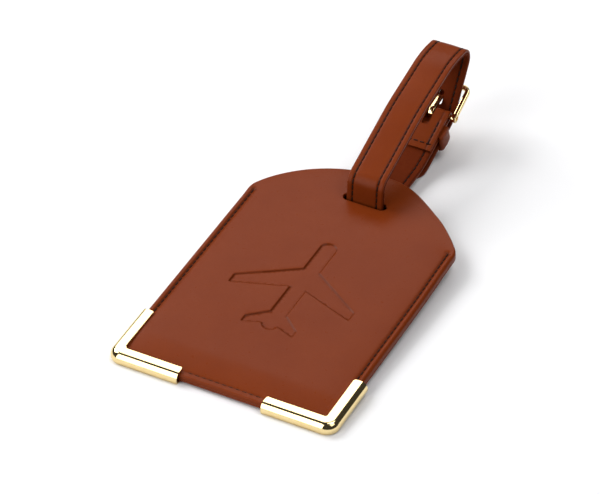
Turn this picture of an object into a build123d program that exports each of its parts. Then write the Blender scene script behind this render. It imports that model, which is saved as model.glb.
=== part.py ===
from build123d import *
import os
from math import asin, cos, degrees, radians, sin, tan

# Luggage tag of brown leather: a domed body with a card pocket, two pressed brass corner guards,
# and a stitched strap that runs through a slot and closes with a small brass buckle.
#
# Millimetres. The tag lies face up on a surface at z = 0, on its corner guards and on the tip of
# its strap, so the body leans by `lean`. +X runs across the tag, +Y from the square end to the
# strap, and +Z up. The origin is on the surface, under the middle of the whole piece.
#
# Everything is drawn in the body's own directions: x across, u from the square end towards the
# strap, and w out of the face, from the underside of the guards.

# ---------------------------------------------------------------- driving dimensions
lean = 2.6                      # degrees between the body and the surface
middle_y = 77.3                 # the body's square end to the middle of the whole piece

body_half_width = 35.5
dome_radius = 40.0
dome_top = 107.9                # u of the top of the dome
shoulder_radius = 8.0           # where a straight side meets the dome
foot_radius = 2.5               # the corners inside the guards

back_low = 0.25                 # w of the back leather's outer face
back_leather = 1.0
film_thickness = 0.2
pocket_gap = 0.4
card_thickness = 0.3
lining_thickness = 0.2
board_thickness = 0.6
front_leather = 0.8
turned_edge = 1.0               # width of the front leather turned over the sides
edge_round = 0.6

slot_length = 14.4
slot_width = 3.2
slot_u = 93.9

window_half_width = 24.5
window_low, window_high = 10.0, 86.0
window_corner = 3.0
card_half_width = 27.5
card_low, card_high = 5.6, 90.6
pocket_half_width = 28.0
pocket_low, spacer_high = 5.2, 86.0

figure_u = 50.0                 # the debossed aeroplane
figure_depth = 0.35
fuselage_length, fuselage_width = 43.0, 5.4
wing_reach, tail_reach = 20.0, 8.5
wing_sweep, tail_sweep = 13.0, 7.0
wing_root, wing_tip, wing_at = 10.0, 4.0, 12.0       # chords, and the nose to the wing's root
tail_root, tail_tip, tail_at = 7.0, 3.0, 33.0

guard_overhang = 0.6            # how far the guards stand out past the leather
guard_thickness = 3.7           # over both lips
guard_wall = 0.5
guard_lip = 0.42
guard_lip_width = 2.67
guard_leg_x = 13.7              # where the leg along the foot ends
guard_leg_u = 20.4              # where the leg up the side ends
guard_corner, guard_inner_corner = 3.0, 0.8
guard_end_round, guard_edge_round = 1.0, 0.4
guard_gap = 0.05                # between a lip's edge and the leather pressed in under it

liner_slot_grow = 0.6           # how much wider the inner sheets' slot is, all round
seam_inset = 2.1                # stitch line to the leather's edge
side_seam_high = 84.6
stitch_pitch = 2.2
stitch_length = 1.7
stitch_width = 0.5
stitch_height = 0.3
groove_width = 0.8
groove_depth = 0.4

layer = 1.0                     # each of the strap's two layers
strap_half_width = 6.0
strap_seam_x = 4.1
strap_groove_width = 0.6
strap_groove_depth = 0.3
strap_slope = 17.6              # degrees between the buckle end and the body
under_w = -3.0                  # w of the strap's lower face under the body
rise_u = 92.6                   # u of the strap's outer face as it enters the slot
cut_u = 111.0                   # the strap bends between the slot and here
tip_u, tip_corner = 118.6, 4.2
run_low, run_knee = Vector(93.5, 12.0), Vector(121.5, 20.8)   # corners of the front run (u, w)
run_peak, far_bend = Vector(144.4, 25.04), Vector(159.9, 22.6)
heel_bend = Vector(145.0, 0.54)
under_radius, rise_radius, low_radius, knee_radius = 30.0, 3.2, 4.5, 60.0
peak_radius, far_radius, heel_radius, tip_radius = 30.0, 5.0, 8.0, 13.0

heel_u, heel_w = 141.7, 5.0     # axis of the heel bar
bar_radius = 0.75
bar_half_length = 8.0
bar_clearance = 0.05
flap_length = 14.6              # heel bar to the end of the folded flap
flap_end_gap, flap_end_leather = 0.25, 0.8
fold_seam_at = 12.4
lining_start = 4.0
tongue_slot_half_width, tongue_slot_end = 1.3, 3.6

frame_slope = 21.9              # degrees between the buckle frame and the body
frame_reach = 11.3              # heel bar to far bar
frame_wire = 1.6
frame_round = 0.4
far_bar_half = 0.93             # far bar's middle to the tongue that lies on it
frame_half_width = 8.4
eye_radius = 1.4
tongue_thickness = 1.2
tongue_half_width = 0.9
tongue_past_bar = 1.3
prong_hole_length, prong_hole_width, prong_hole_shift = 5.3, 2.4, 0.7
hole_radius = 1.0
spare_holes = (0.6, 9.8)        # heel bar to the strap's spare holes

keeper_start, keeper_length = 3.6, 5.6
keeper_leather = 1.2
keeper_clearance = 0.1


# ---------------------------------------------------------------- planes and heights
turn = radians(lean)
square_end = Vector(0, -middle_y, 0)
face = Plane(origin=square_end, x_dir=(1, 0, 0), z_dir=(0, -sin(turn), cos(turn)))
# side view of the body: local x is u, local y is w
side = Plane(origin=square_end, x_dir=face.y_dir, z_dir=(1, 0, 0))
# side view of the buckle end: local x runs from the heel bar towards the slot, local y outwards
slope = radians(lean + strap_slope)
heel = side.from_local_coords(Vector(heel_u, heel_w, 0))
fold = Plane(origin=heel, x_dir=(0, -cos(slope), -sin(slope)), z_dir=(1, 0, 0))
# the buckle frame: local x is +X, local y runs from the heel bar to the far bar
frame_turn = radians(lean + frame_slope)
buckle = Plane(origin=heel, x_dir=(1, 0, 0), z_dir=(0, -sin(frame_turn), cos(frame_turn)))
# side view of the tongue, which lies against the far bar's outer side
ring_inner = bar_radius + bar_clearance
ring_outer = ring_inner + tongue_thickness
tongue_drop = asin((ring_outer + far_bar_half) / frame_reach)
tongue_turn = frame_turn - tongue_drop
tongue_side = Plane(origin=heel, x_dir=(0, cos(tongue_turn), sin(tongue_turn)), z_dir=(1, 0, 0))


def heading(direction):
    """A direction in the body's side view, (u, w), as a direction in space."""
    return side.x_dir * direction.X + side.y_dir * direction.Y


film_low = back_low + back_leather
gap_low = film_low + film_thickness
lining_low = gap_low + pocket_gap
board_low = lining_low + lining_thickness
front_low = board_low + board_thickness
front_high = front_low + front_leather
seam_x = body_half_width - seam_inset
dome_centre = dome_top - dome_radius


# ---------------------------------------------------------------- outlines of the body
def body_outline(inset, slot_grow=None):
    """The tag's outline, drawn in by `inset`, with or without the strap slot."""
    half = body_half_width - inset
    radius = dome_radius - inset
    shoulder = dome_centre + (radius**2 - half**2) ** 0.5
    with BuildSketch() as outline:
        with BuildLine():
            Line((-half, inset), (half, inset))
            Line((half, inset), (half, shoulder))
            ThreePointArc((half, shoulder), (0, dome_centre + radius), (-half, shoulder))
            Line((-half, shoulder), (-half, inset))
        make_face()
        corners = outline.vertices().group_by(Axis.Y)
        fillet(corners[-1], shoulder_radius)
        fillet(outline.vertices().group_by(Axis.Y)[0], foot_radius - min(inset, 2.0))
        if slot_grow is not None:
            with Locations((0, slot_u)):
                SlotOverall(slot_length + 2 * slot_grow, slot_width + 2 * slot_grow, mode=Mode.SUBTRACT)
    return outline.sketch


def edge_band(top):
    """The band of turned leather round the body, up to u = `top`."""
    with BuildSketch() as band:
        add(body_outline(0))
        add(body_outline(turned_edge), mode=Mode.SUBTRACT)
        with Locations((0, top)):
            Rectangle(100, 60, align=(Align.CENTER, Align.MIN), mode=Mode.SUBTRACT)
    return band.sketch


def guard_plan(grow):
    """The right-hand guard's lips seen from the front: an L round the corner."""
    far = body_half_width + guard_overhang
    inner_x = body_half_width - guard_lip_width - grow
    inner_u = guard_lip_width + grow
    with BuildSketch() as plan:
        with BuildLine():
            Polyline(
                (guard_leg_x - grow, -guard_overhang),
                (far, -guard_overhang),
                (far, guard_leg_u + grow),
                (inner_x, guard_leg_u + grow),
                (inner_x, inner_u),
                (guard_leg_x - grow, inner_u),
                close=True,
            )
        make_face()
        fillet(plan.vertices().sort_by_distance((inner_x, inner_u, 0))[0], guard_inner_corner)
    return plan.sketch


def both_sides(sketch):
    """A sketch and its mirror image across the tag's middle."""
    with BuildSketch() as pair:
        add(sketch)
        mirror(about=Plane.YZ)
    return pair.sketch


def rim_at(part, height):
    """The outer edges of a sheet's face at one height of the body."""
    for sheet_face in part.faces():
        if abs(face.to_local_coords(sheet_face.center()).Z - height) < 0.01:
            return sheet_face.outer_wire().edges()


def aeroplane():
    """A plain aeroplane seen from above, nose towards the strap."""
    nose = figure_u + fuselage_length / 2
    with BuildSketch() as figure:
        with Locations((0, figure_u)):
            SlotOverall(fuselage_length, fuselage_width, rotation=90)
        for reach, sweep, root, tip_chord, start in (
            (wing_reach, wing_sweep, wing_root, wing_tip, nose - wing_at),
            (tail_reach, tail_sweep, tail_root, tail_tip, nose - tail_at),
        ):
            with BuildLine():
                Polyline(
                    (0, start),
                    (reach, start - sweep),
                    (reach, start - sweep - tip_chord),
                    (0, start - root),
                    (-reach, start - sweep - tip_chord),
                    (-reach, start - sweep),
                    close=True,
                )
            make_face()
    return figure.sketch


# ---------------------------------------------------------------- tag body
with BuildPart() as front_panel:
    with BuildSketch(face.offset(front_low)):
        add(body_outline(0, slot_grow=0))
    extrude(amount=front_leather)
    fillet(rim_at(front_panel.part, front_high), edge_round)
    # turned down over the board all round, and over the card pocket as far as the dome
    with BuildSketch(face.offset(lining_low)):
        add(edge_band(dome_top))
    extrude(amount=front_low - lining_low)
    with BuildSketch(face.offset(film_low)):
        add(edge_band(spacer_high))
    extrude(amount=lining_low - film_low)
    # pressed in under the guards
    with BuildSketch(face.offset(guard_thickness - guard_lip)):
        add(both_sides(guard_plan(guard_gap)))
    extrude(amount=1, mode=Mode.SUBTRACT)
    # stitching grooves
    with BuildSketch(face.offset(front_high)):
        with Locations((-seam_x, side_seam_high), (seam_x, side_seam_high)):
            Rectangle(
                groove_width, side_seam_high - guard_leg_u - 0.3,
                align=(Align.CENTER, Align.MAX),
            )
        with Locations((0, seam_inset)):
            Rectangle(2 * guard_leg_x - 1, groove_width)
    extrude(amount=-groove_depth, mode=Mode.SUBTRACT)
    # debossed figure
    with BuildSketch(face.offset(front_high)):
        add(aeroplane())
    extrude(amount=-figure_depth, mode=Mode.SUBTRACT)

with BuildPart() as stiffener_board:
    with BuildSketch(face.offset(board_low)):
        add(body_outline(turned_edge, slot_grow=liner_slot_grow))
    extrude(amount=board_thickness)

with BuildPart() as pocket_lining:
    with BuildSketch(face.offset(lining_low)):
        add(body_outline(turned_edge, slot_grow=liner_slot_grow))
    extrude(amount=lining_thickness)

# narrow strips that hold the pocket open at its sides and foot
with BuildPart() as pocket_spacer:
    with BuildSketch(face.offset(gap_low)):
        add(body_outline(turned_edge))
        with Locations((0, pocket_low)):
            Rectangle(2 * pocket_half_width, 200, align=(Align.CENTER, Align.MIN), mode=Mode.SUBTRACT)
        with Locations((0, spacer_high)):
            Rectangle(100, 60, align=(Align.CENTER, Align.MIN), mode=Mode.SUBTRACT)
    extrude(amount=pocket_gap)

with BuildPart() as id_card:
    with BuildSketch(face.offset(gap_low + (pocket_gap - card_thickness) / 2)):
        with Locations((0, (card_low + card_high) / 2)):
            Rectangle(2 * card_half_width, card_high - card_low)
    extrude(amount=card_thickness)

with BuildPart() as window_film:
    with BuildSketch(face.offset(film_low)):
        add(body_outline(turned_edge, slot_grow=liner_slot_grow))
    extrude(amount=film_thickness)

with BuildPart() as back_panel:
    with BuildSketch(face.offset(back_low)):
        add(body_outline(0, slot_grow=0))
    extrude(amount=back_leather)
    fillet(rim_at(back_panel.part, back_low), edge_round)
    with BuildSketch(face.offset(back_low)):
        with Locations((0, (window_low + window_high) / 2)):
            RectangleRounded(2 * window_half_width, window_high - window_low, window_corner)
    extrude(amount=back_leather, mode=Mode.SUBTRACT)
    with BuildSketch(face):
        add(both_sides(guard_plan(guard_gap)))
    extrude(amount=guard_lip, mode=Mode.SUBTRACT)
    with BuildSketch(face.offset(back_low)):
        with Locations((-seam_x, side_seam_high), (seam_x, side_seam_high)):
            Rectangle(
                groove_width, side_seam_high - guard_leg_u - 0.3,
                align=(Align.CENTER, Align.MAX),
            )
        with Locations((0, seam_inset)):
            Rectangle(2 * guard_leg_x - 1, groove_width)
    extrude(amount=groove_depth, mode=Mode.SUBTRACT)


def stitch_row(places, across):
    """Stitches in the front and back grooves of the body, as separate short lengths of thread."""
    long, wide = stitch_length, stitch_width
    with BuildPart() as row:
        for height, grow in ((front_high - groove_depth, stitch_height),
                             (back_low + groove_depth, -stitch_height)):
            with BuildSketch(face.offset(height)):
                with Locations(*places):
                    SlotOverall(long, wide, rotation=0 if across else 90)
            extrude(amount=grow)
    return row


side_count = int((side_seam_high - guard_leg_u - 2) / stitch_pitch)
side_places = [side_seam_high - 1.3 - stitch_pitch * i for i in range(side_count + 1)]
side_seam_left = stitch_row([(-seam_x, u) for u in side_places], across=False)
side_seam_right = stitch_row([(seam_x, u) for u in side_places], across=False)
foot_count = int((guard_leg_x - 1.5) / stitch_pitch)
foot_places = [stitch_pitch * i for i in range(-foot_count, foot_count + 1)]
bottom_seam = stitch_row([(x, seam_inset) for x in foot_places], across=True)


def guard():
    """The right-hand corner guard: a channel with rounded outer edges, bent round the corner."""
    far = body_half_width + guard_overhang
    with BuildPart() as pressing:
        with BuildSketch(face) as plan:
            add(guard_plan(0))
            outer_corner = plan.vertices().sort_by_distance((far, -guard_overhang, 0))[0]
            fillet(outer_corner, guard_corner)
            lip_edge = body_half_width - guard_lip_width
            for end in ((lip_edge, guard_leg_u, 0), (guard_leg_x, guard_lip_width, 0)):
                fillet(plan.vertices().sort_by_distance(end)[0], guard_end_round)
        extrude(amount=guard_thickness)
        rims = rim_at(pressing.part, 0) + rim_at(pressing.part, guard_thickness)
        outside = []
        for edge in rims:
            middle = face.to_local_coords(edge @ 0.5)
            if middle.X > body_half_width - 0.3 or middle.Y < 0.3:
                outside.append(edge)
        fillet(outside, guard_edge_round)
        # the room for the leather
        wall = far - guard_wall
        with BuildSketch(face.offset(guard_lip)) as room:
            with Locations((wall, guard_wall - guard_overhang)):
                Rectangle(60, 60, align=(Align.MAX, Align.MIN))
            near = room.vertices().sort_by_distance((wall, guard_wall - guard_overhang, 0))[0]
            fillet(near, foot_radius)
        extrude(amount=guard_thickness - 2 * guard_lip, mode=Mode.SUBTRACT)
    return pressing


corner_guard_right = guard()
with BuildPart() as corner_guard_left:
    add(corner_guard_right.part.mirror(Plane.YZ))


# ---------------------------------------------------------------- strap
def fold_point(along, out):
    """(u, w) of a point given from the heel bar: along the strap to the slot, and outwards."""
    angle = radians(strap_slope)
    return Vector(
        heel_u - along * cos(angle) + out * sin(angle),
        heel_w - along * sin(angle) - out * cos(angle),
    )


def lowered(points, depth):
    """A line's corner points, moved towards the inside of the strap's loop by `depth`."""
    headings = [(b - a).normalized() for a, b in zip(points, points[1:])]
    inward = [Vector(h.Y, -h.X) for h in headings]
    moved = [points[0] + inward[0] * depth]
    for corner, before, after in zip(points[1:], inward, inward[1:]):
        moved.append(corner + (before + after) * (depth / (1 + before.dot(after))))
    return moved + [points[-1] + inward[-1] * depth]


def strap_line(points, radii, depth):
    """The strap's side view at one depth under its outer face: straight runs joined by arcs."""
    return FilletPolyline(*lowered(points, depth), radius=[r - depth for r in radii])


def strap_layer(points, radii, near, far):
    """The strap's side view between two depths under its outer face."""
    with BuildSketch() as profile:
        with BuildLine():
            outer = strap_line(points, radii, near)
            inner = strap_line(points, radii, far)
            Line(outer @ 0, inner @ 0)
            Line(outer @ 1, inner @ 1)
        make_face()
    return profile.sketch


def grooves(points, radii):
    """The two stitching grooves in the strap's outer face."""
    with BuildPart() as cutters:
        for x in (-strap_seam_x, strap_seam_x):
            with BuildSketch(side.offset(x)):
                add(strap_layer(points, radii, -0.2, strap_groove_depth))
            extrude(amount=strap_groove_width / 2, both=True)
    return cutters.part


def strap_stitches(points, radii, start, stop):
    """Threads in both grooves, between two lengths along the strap."""
    with BuildLine():
        path = strap_line(points, radii, strap_groove_depth)
    planes = []
    for i in range(int((stop - start) / stitch_pitch) + 1):
        share = (start + i * stitch_pitch) / path.length
        spot = path @ share
        along = path % share
        for x in (-strap_seam_x, strap_seam_x):
            planes.append(
                Plane(
                    origin=side.from_local_coords(Vector(spot.X, spot.Y, x)),
                    x_dir=heading(along),
                    z_dir=heading(Vector(-along.Y, along.X)),
                )
            )
    with BuildPart() as threads:
        with BuildSketch(*planes):
            SlotOverall(stitch_length, strap_groove_width * 0.75)
        extrude(amount=strap_groove_depth * 0.8)
    return threads


def across(sketch, half_width, plane=side):
    """A side-view sketch made as wide as the strap."""
    with BuildPart() as made:
        with BuildSketch(plane):
            add(sketch)
        extrude(amount=half_width, both=True)
    return made.part


def run_height(u):
    """w of the front run's outer face on its first straight."""
    return run_low.Y + (u - run_low.X) * (run_knee.Y - run_low.Y) / (run_knee.X - run_low.X)


# corners of the strap's outer face, from the buckle round the loop to the tip
surface_slope = -tan(turn)
tip_slope = tan(radians(strap_slope))
tip_bend_u = (heel_bend.Y - tip_slope * heel_bend.X) / (surface_slope - tip_slope)
tip_bend = Vector(tip_bend_u, surface_slope * tip_bend_u)
tip = Vector(tip_u, surface_slope * tip_u)
flat_out = ring_inner + layer
flat_along = (fold_point(0, flat_out).Y - under_w) / sin(radians(strap_slope))
under_bend = fold_point(flat_along, flat_out)

buckle_end_points = [fold_point(0, flat_out), under_bend, Vector(cut_u, under_w)]
buckle_end_radii = [under_radius]
slot_points = [Vector(cut_u, under_w), Vector(rise_u, under_w), run_low, Vector(cut_u, run_height(cut_u))]
slot_radii = [rise_radius, low_radius]
loop_points = [slot_points[-1], run_knee, run_peak, far_bend, heel_bend, tip_bend, tip]
loop_radii = [knee_radius, peak_radius, far_radius, heel_radius, tip_radius]

# the prong's hole, where the strap passes between the two bars
steep = (heel_bend - far_bend).normalized()
steep_out = Vector(-steep.Y, steep.X)
prong_line = Vector(cos(tongue_turn - turn), sin(tongue_turn - turn))
prong_rise = Vector(-prong_line.Y, prong_line.X) * (ring_inner + tongue_thickness / 2)
heel_point = Vector(heel_u, heel_w)
strap_middle = (heel_bend - heel_point).dot(steep_out) - layer
prong_travel = (strap_middle - prong_rise.dot(steep_out)) / prong_line.dot(steep_out)
prong_hole = heel_point + prong_rise + prong_line * prong_travel + steep * prong_hole_shift
prong_hole_plane = Plane(
    origin=side.from_local_coords(prong_hole),
    x_dir=heading(steep),
    z_dir=heading(steep_out),
)
hole_planes = [
    Plane(origin=fold.from_local_coords(Vector(along, 0, 0)), x_dir=fold.x_dir, z_dir=fold.y_dir)
    for along in spare_holes
]


def free_end_cutters():
    """The prong's hole, the spare holes, and what rounds the strap's tip."""
    with BuildPart() as cutters:
        with BuildSketch(prong_hole_plane):
            SlotOverall(prong_hole_length, prong_hole_width)
        extrude(amount=2, both=True)
        with BuildSketch(*[plane.offset(2.5) for plane in hole_planes]):
            Circle(hole_radius)
        extrude(amount=4)
        with BuildSketch(face.offset(under_w - 5)):
            with Locations((0, tip_u - 3)):
                Rectangle(20, tip_corner + 3, align=(Align.CENTER, Align.MIN))
            with Locations((0, tip_u + strap_half_width - 0.1)):
                Circle(strap_half_width + 0.1, mode=Mode.SUBTRACT)
        extrude(amount=5)
    return cutters.part


free_cuts = free_end_cutters()

with BuildPart() as strap_outer:
    add(across(strap_layer(loop_points, loop_radii, 0, layer), strap_half_width))
    add(grooves(loop_points, loop_radii), mode=Mode.SUBTRACT)
    add(free_cuts, mode=Mode.SUBTRACT)

with BuildPart() as strap_lining:
    add(across(strap_layer(loop_points, loop_radii, layer, 2 * layer), strap_half_width))
    add(free_cuts, mode=Mode.SUBTRACT)

with BuildPart() as strap_slot_outer:
    add(across(strap_layer(slot_points, slot_radii, 0, layer), strap_half_width))
    add(grooves(slot_points, slot_radii), mode=Mode.SUBTRACT)

with BuildPart() as strap_slot_lining:
    add(across(strap_layer(slot_points, slot_radii, layer, 2 * layer), strap_half_width))

# the outer layer alone goes round the heel bar and back as a flap, thinner at its end
with BuildPart() as tongue_slot:
    with BuildSketch(fold):
        with Locations((tongue_slot_end, 0)):
            Rectangle(8, 5, align=(Align.MAX, Align.CENTER))
    extrude(amount=tongue_slot_half_width, both=True)

with BuildPart() as buckle_end_outer:
    add(across(strap_layer(buckle_end_points, buckle_end_radii, 0, layer), strap_half_width))
    add(grooves(buckle_end_points, buckle_end_radii), mode=Mode.SUBTRACT)
    with BuildSketch(fold) as loop_over_bar:
        Circle(flat_out)
        Circle(ring_inner, mode=Mode.SUBTRACT)
        Rectangle(5, 10, align=(Align.MIN, Align.CENTER), mode=Mode.SUBTRACT)
        with BuildLine():
            Polyline(
                (0, -ring_inner),
                (flap_length, -flap_end_gap),
                (flap_length, -flap_end_gap - flap_end_leather),
                (0, -flat_out),
                close=True,
            )
        make_face()
    extrude(amount=strap_half_width, both=True)
    add(tongue_slot.part, mode=Mode.SUBTRACT)

lining_points = [fold_point(lining_start, flat_out)] + buckle_end_points[1:]
with BuildPart() as buckle_end_lining:
    add(across(strap_layer(lining_points, buckle_end_radii, layer, 2 * layer), strap_half_width))

# ---------------------------------------------------------------- strap threads
loop_seam = strap_stitches(loop_points, loop_radii, 1.0, 116.0)
slot_seam = strap_stitches(slot_points, slot_radii, 1.0, 48.0)
buckle_end_seam = strap_stitches(buckle_end_points, buckle_end_radii, 5.0, 31.0)

# cross stitches that close the fold, on top of the flap
flap_drop = (flat_out - flap_end_gap - flap_end_leather) / flap_length
flap_out = flat_out - flap_drop * fold_seam_at
with BuildPart() as fold_seam:
    flap_turn = slope + flap_drop
    flap_top = Plane(
        origin=fold.from_local_coords(Vector(fold_seam_at, -flap_out, 0)),
        x_dir=(1, 0, 0),
        z_dir=(0, -sin(flap_turn), cos(flap_turn)),
    )
    with BuildSketch(flap_top):
        with GridLocations(stitch_pitch, 1, 5, 1):
            SlotOverall(stitch_length, stitch_width)
    extrude(amount=stitch_height)

# ---------------------------------------------------------------- keeper
free_out = (heel_bend - heel_point).dot(Vector(sin(radians(strap_slope)), -cos(radians(strap_slope))))
keeper_in = -flat_out - keeper_clearance
keeper_out = free_out + keeper_clearance
keeper_width = 2 * (strap_half_width + keeper_clearance + 0.05)
keeper_plane = Plane(
    origin=fold.from_local_coords(Vector(keeper_start, (keeper_in + keeper_out) / 2, 0)),
    x_dir=(1, 0, 0),
    z_dir=fold.x_dir,
)
with BuildPart() as keeper:
    with BuildSketch(keeper_plane):
        height = keeper_out - keeper_in
        RectangleRounded(keeper_width + 2 * keeper_leather, height + 2 * keeper_leather, 1.6)
        RectangleRounded(keeper_width, height, 0.3, mode=Mode.SUBTRACT)
    extrude(amount=keeper_length)

# ---------------------------------------------------------------- buckle
with BuildPart() as heel_bar:
    with BuildSketch(fold):
        Circle(bar_radius)
    extrude(amount=bar_half_length, both=True)

with BuildPart() as buckle_frame:
    with BuildSketch(buckle) as frame_plan:
        high = frame_reach + frame_wire / 2
        Rectangle(2 * frame_half_width, high, align=(Align.CENTER, Align.MIN))
        fillet(frame_plan.vertices().group_by(Axis.Y)[-1], 2.4)
        with BuildSketch(mode=Mode.PRIVATE) as inside:
            Rectangle(
                2 * (frame_half_width - frame_wire), high - frame_wire,
                align=(Align.CENTER, Align.MIN),
            )
            fillet(inside.vertices().group_by(Axis.Y)[-1], 1.0)
        add(inside.sketch, mode=Mode.SUBTRACT)
    extrude(amount=frame_wire / 2, both=True)
    along_wire = [e for e in buckle_frame.edges() if abs(buckle.to_local_coords(e @ 0.5).Z) > 0.7]
    fillet([e for e in along_wire if buckle.to_local_coords(e @ 0.5).Y > 0.1], frame_round)
    for x in (frame_half_width, frame_wire - frame_half_width):
        with BuildSketch(fold.offset(x)):
            Circle(eye_radius)
        extrude(amount=-frame_wire)
    with BuildSketch(fold):
        Circle(bar_radius)
    extrude(amount=bar_half_length, both=True, mode=Mode.SUBTRACT)

with BuildPart() as buckle_tongue:
    tongue_end = frame_reach * cos(tongue_drop) + frame_wire / 2 + tongue_past_bar
    with BuildSketch(tongue_side):
        Circle(ring_outer)
        with Locations((0, ring_inner)):
            Rectangle(tongue_end, tongue_thickness, align=(Align.MIN, Align.MIN))
        Circle(ring_inner, mode=Mode.SUBTRACT)
    extrude(amount=tongue_half_width, both=True)
    tips = buckle_tongue.edges().filter_by(Axis.X).sort_by_distance(
        tongue_side.from_local_coords(Vector(tongue_end, ring_inner + tongue_thickness / 2, 0))
    )[0:2]
    fillet(tips, 0.5)

# ---------------------------------------------------------------- export
pieces = {
    "front_panel": front_panel,
    "stiffener_board": stiffener_board,
    "pocket_lining": pocket_lining,
    "pocket_spacer": pocket_spacer,
    "id_card": id_card,
    "window_film": window_film,
    "back_panel": back_panel,
    "side_seam_left": side_seam_left,
    "side_seam_right": side_seam_right,
    "bottom_seam": bottom_seam,
    "corner_guard_left": corner_guard_left,
    "corner_guard_right": corner_guard_right,
    "strap_outer": strap_outer,
    "strap_lining": strap_lining,
    "strap_slot_outer": strap_slot_outer,
    "strap_slot_lining": strap_slot_lining,
    "buckle_end_outer": buckle_end_outer,
    "buckle_end_lining": buckle_end_lining,
    "strap_seams": loop_seam,
    "strap_slot_seams": slot_seam,
    "buckle_end_seams": buckle_end_seam,
    "fold_seam": fold_seam,
    "keeper": keeper,
    "buckle_frame": buckle_frame,
    "heel_bar": heel_bar,
    "buckle_tongue": buckle_tongue,
}

os.makedirs("parts", exist_ok=True)
for name, piece in pieces.items():
    piece.part.label = name
    export_step(piece.part, f"parts/{name}.step")
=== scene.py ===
"""Looks of a brown leather luggage tag with brass corner guards and a buckled strap.

Shapes are worked out in millimetres in the tag's own directions: x across the tag, u from its
square end towards the strap, w out of its face. `place` turns such a point into the frame's metres.
"""
from math import asin, atan2, ceil, cos, exp, hypot, pi, radians, sin, sqrt, tan

import bpy
import bmesh
from mathutils import Matrix, Vector, geometry, noise


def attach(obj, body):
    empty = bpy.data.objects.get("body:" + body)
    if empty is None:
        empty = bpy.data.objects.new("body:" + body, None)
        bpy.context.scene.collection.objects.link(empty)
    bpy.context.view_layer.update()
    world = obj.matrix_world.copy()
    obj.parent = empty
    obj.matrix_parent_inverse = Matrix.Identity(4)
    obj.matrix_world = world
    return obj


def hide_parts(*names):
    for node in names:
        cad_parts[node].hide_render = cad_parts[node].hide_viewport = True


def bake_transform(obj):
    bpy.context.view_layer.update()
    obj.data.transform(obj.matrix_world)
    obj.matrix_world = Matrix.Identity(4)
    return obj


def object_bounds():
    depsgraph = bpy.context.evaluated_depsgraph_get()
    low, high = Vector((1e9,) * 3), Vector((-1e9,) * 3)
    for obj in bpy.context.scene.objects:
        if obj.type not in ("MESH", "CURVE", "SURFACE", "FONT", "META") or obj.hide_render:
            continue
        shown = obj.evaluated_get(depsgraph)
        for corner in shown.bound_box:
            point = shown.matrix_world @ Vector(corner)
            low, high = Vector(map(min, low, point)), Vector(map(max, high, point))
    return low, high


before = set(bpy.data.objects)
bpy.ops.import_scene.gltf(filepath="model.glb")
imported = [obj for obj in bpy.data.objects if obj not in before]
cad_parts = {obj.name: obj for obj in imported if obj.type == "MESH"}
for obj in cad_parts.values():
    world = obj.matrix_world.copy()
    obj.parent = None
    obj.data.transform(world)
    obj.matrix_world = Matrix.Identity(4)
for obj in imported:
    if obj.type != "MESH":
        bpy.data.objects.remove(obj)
cad_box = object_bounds()


# ---- driving dimensions, mm
LEAN = radians(2.6)             # the strap under its far end lifts it
SQUARE_END = -77.3              # its place along the frame's Y

HALF = 35.5                     # the tag's half width, its dome and its corners
DOME, DOME_TOP = 40.0, 107.9
SHOULDER, FOOT = 8.0, 2.5
BACK, BACK_INSIDE = 0.25, 1.25
FRONT, FRONT_INSIDE = 3.45, 2.65
PILLOW = 0.17                   # how far the middle of the front stands above FRONT
TURNED = 1.0                    # how thick the turned edge is
SLOT_LENGTH, SLOT_WIDTH, SLOT_U = 14.4, 3.2, 93.9
SEAM_X = 33.4
SEAM_INSET = 2.1
SEAM_HIGH = 84.6
PITCH = 2.2
WINDOW_HALF, WINDOW_LOW, WINDOW_HIGH, WINDOW_CORNER = 24.5, 10.0, 86.0, 3.0

GUARD_HIGH = 3.7
GUARD_X, GUARD_U = 13.7, 20.4   # where its two legs end
GUARD_LIP = 2.67
GUARD_CORNER = Vector((33.1, 2.4))
GUARD_INNER, GUARD_SHEET = 0.8, 0.42
GUARD_FLAT, GUARD_BEVEL, GUARD_BULGE = 2.6, 1.0, 2.6

LAYER = 1.0                     # one layer of the strap
STRAP_HALF = 6.0
STRAP_SEAM = 4.1
SLOPE = radians(17.6)
HEEL = Vector((141.7, 5.0))     # the bar that the fold and the tongue turn on
RING = 0.8
FLAP, FOLD_SEAM = 14.6, 12.4
FLAP_GAP, FLAP_END = 0.25, 0.8
LINING_START, SEAM_START = 4.0, 5.0
UNDER_W = -3.0
RISE_U = 92.6
TIP_U = 118.6
# corners of the strap's line as (u, w), from the slot round to the free end
RUN_LOW, RUN_KNEE = Vector((93.5, 12.0)), Vector((121.5, 20.8))
RUN_PEAK, FAR_BEND = Vector((144.4, 25.04)), Vector((159.9, 22.6))
HEEL_BEND = Vector((145.0, 0.54))

FRAME_SLOPE = radians(21.9)
FRAME_REACH, FRAME_WIRE, FRAME_HALF = 11.3, 1.6, 8.4
FAR_BAR_HALF = 0.93
TONGUE_THICK, TONGUE_HALF, TONGUE_PAST = 1.2, 0.9, 1.3
KEEPER_START, KEEPER_LENGTH, KEEPER_LEATHER, KEEPER_GAP = 3.6, 5.6, 1.2, 0.1

MM = 0.001


# ---- places
def turned(v):
    """A direction of the tag's own as a direction of the frame."""
    return Matrix.Rotation(LEAN, 3, "X") @ Vector(v)


def place(point):
    """A point (x, u, w) in millimetres as a point of the frame in metres."""
    return (turned(point) + Vector((0, SQUARE_END, 0))) * MM


def smooth(value, low, high):
    """0 before `low`, 1 after `high`, and a smooth rise between."""
    t = min(max((value - low) / (high - low), 0), 1)
    return t * t * (3 - 2 * t)


def bell(value, width):
    return exp(-((value / width) ** 2))


# ---- materials
MIX_FACTOR, MIX_FIRST, MIX_SECOND, MIX_RESULT = 0, 6, 7, 2      # a Mix node's sockets for colours


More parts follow.
